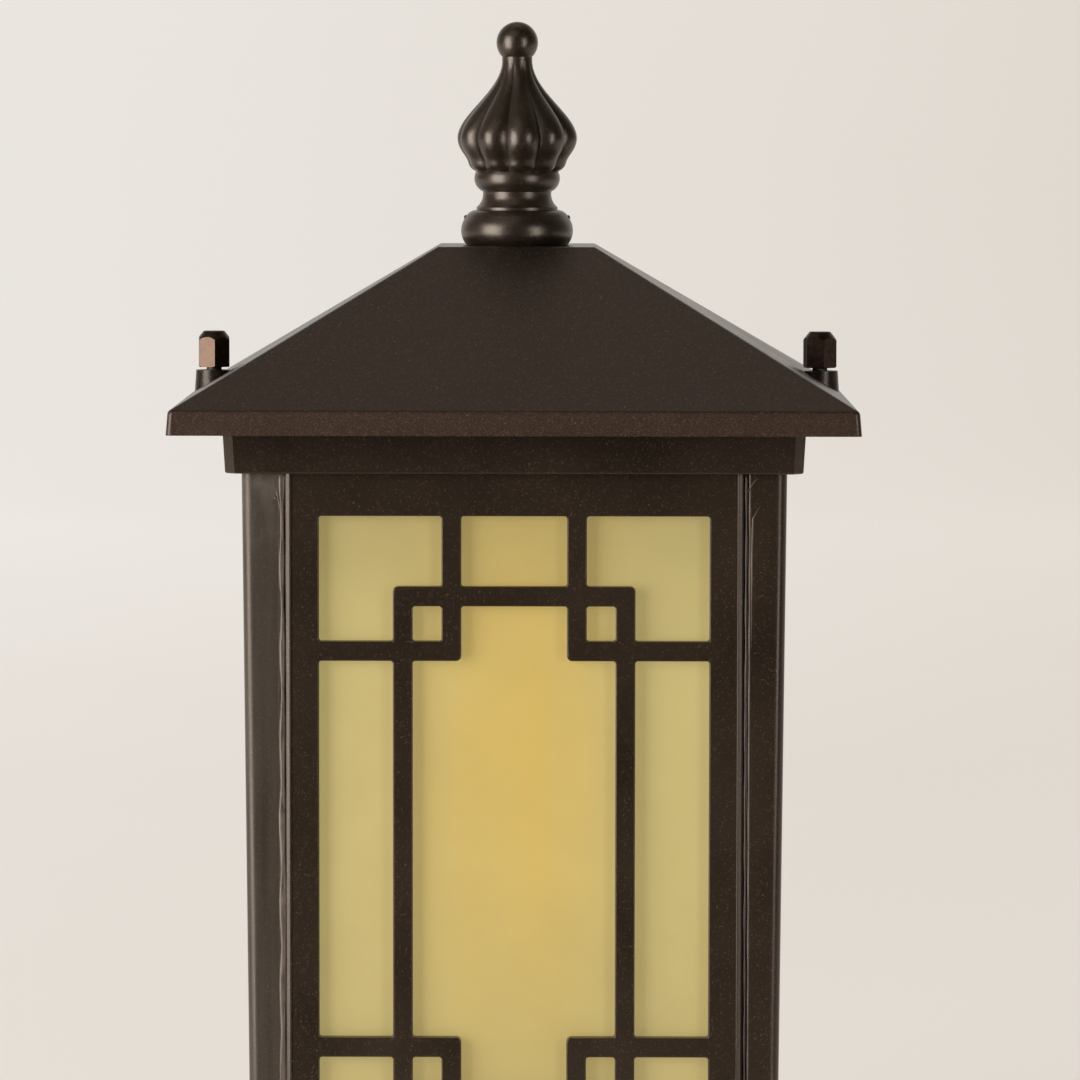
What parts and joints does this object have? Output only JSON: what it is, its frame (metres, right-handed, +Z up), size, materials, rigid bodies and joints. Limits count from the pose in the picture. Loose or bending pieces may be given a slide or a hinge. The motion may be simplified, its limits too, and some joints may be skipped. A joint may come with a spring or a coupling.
{
  "type": "outdoor pillar lantern",
  "caption": "Square pillar lantern with amber lattice panels, corner posts, a pyramid roof held by cap nuts and a lobed finial; the roof lifts off to reach the lamp.",
  "frame": {"origin": "centre of the foot plate's underside", "axes": "+Z up, front face towards -Y, the cap nuts along X"},
  "size_m": [0.22, 0.22, 0.4059],
  "materials": {
    "bronze_coat": "dark bronze satin powder coat on cast aluminium, with a fine sparkle",
    "amber_glass": "amber translucent, satin inside",
    "nut_bronze": "copper bronze plating, satin",
    "zinc_steel": "zinc plated",
    "black_rubber": "matt",
    "white_ceramic": "white glaze",
    "plain_brass": "bright",
    "nickel_cap": "nickel plated, satin",
    "opal_glass": "opal, matt",
    "black_glass": "black, glossy",
    "block_nylon": "natural nylon",
    "brown_insulation": "silicone sleeve",
    "blue_insulation": "silicone sleeve",
    "earth_insulation": "green and yellow sleeve"
  },
  "bodies": {
    "frame": {"foot_plate": "bronze_coat", "foot_screws": "zinc_steel", "base_collar": "bronze_coat", "cable_grommet": "black_rubber", "top_collar": "bronze_coat", "roof_gasket": "black_rubber", "left_stud": "zinc_steel", "right_stud": "zinc_steel", "top_post_screws": "zinc_steel", "bottom_post_screws": "zinc_steel", "pane_clips": "zinc_steel", "clip_screws": "zinc_steel", "lampholder_bracket": "zinc_steel", "bracket_screws": "zinc_steel", "lampholder_body": "white_ceramic", "lampholder_shell": "plain_brass", "centre_contact": "plain_brass", "holder_screws": "zinc_steel", "terminal_block": "block_nylon", "terminal_screws": "plain_brass", "live_lead": "brown_insulation", "neutral_lead": "blue_insulation", "earth_lead": "earth_insulation", "earth_tag": "plain_brass", "earth_screw": "plain_brass", "rear_right_post": "bronze_coat", "rear_left_post": "bronze_coat", "front_left_post": "bronze_coat", "front_right_post": "bronze_coat", "front_fret": "bronze_coat", "right_fret": "bronze_coat", "rear_fret": "bronze_coat", "left_fret": "bronze_coat", "front_pane": "amber_glass", "right_pane": "amber_glass", "rear_pane": "amber_glass", "left_pane": "amber_glass"},
    "roof": {"roof_shell": "bronze_coat", "roof_rib": "bronze_coat", "finial": "bronze_coat", "finial_stud": "zinc_steel", "finial_washer": "zinc_steel", "finial_nut": "zinc_steel"},
    "left_washer": {"left_seal_washer": "black_rubber"},
    "left_nut": {"left_cap_nut": "nut_bronze"},
    "right_washer": {"right_seal_washer": "black_rubber"},
    "right_nut": {"right_cap_nut": "nut_bronze"},
    "lamp_contact": {"lamp_tip": "plain_brass"},
    "lamp": {"lamp_glass": "opal_glass", "lamp_cap": "nickel_cap", "lamp_insulator": "black_glass"}
  },
  "joints": [
    {"name": "roof_lift", "type": "slide", "parent": "frame", "child": "roof", "axis": [0, 0, 1], "range_m": [0, 0.12]},
    {"name": "left_nut_rise", "type": "slide", "parent": "roof", "child": "left_washer", "axis": [0, 0, 1], "range_m": [-0.00085, 0.00725]},
    {"name": "left_nut_turn", "type": "hinge", "parent": "left_washer", "child": "left_nut", "pos_m": [-0.101, 0, 0.295], "axis": [0, 0, 1], "range_deg": [-360, 3240]},
    {"name": "right_nut_rise", "type": "slide", "parent": "roof", "child": "right_washer", "axis": [0, 0, 1], "range_m": [-0.00085, 0.00725]},
    {"name": "right_nut_turn", "type": "hinge", "parent": "right_washer", "child": "right_nut", "pos_m": [0.101, 0, 0.295], "axis": [0, 0, 1], "range_deg": [-360, 3240]},
    {"name": "lamp_rise", "type": "slide", "parent": "frame", "child": "lamp_contact", "axis": [0, 0, 1], "range_m": [0, 0.0202]},
    {"name": "lamp_turn", "type": "hinge", "parent": "lamp_contact", "child": "lamp", "pos_m": [0, 0, 0.07], "axis": [0, 0, 1], "range_deg": [0, 1980]}
  ],
  "couplings": [
    {"joint": "left_nut_rise", "follows": "left_nut_turn", "m_per_rad": 0.00012732},
    {"joint": "right_nut_rise", "follows": "right_nut_turn", "m_per_rad": 0.00012732},
    {"joint": "lamp_rise", "follows": "lamp_turn", "m_per_rad": 0.00057757}
  ]
}
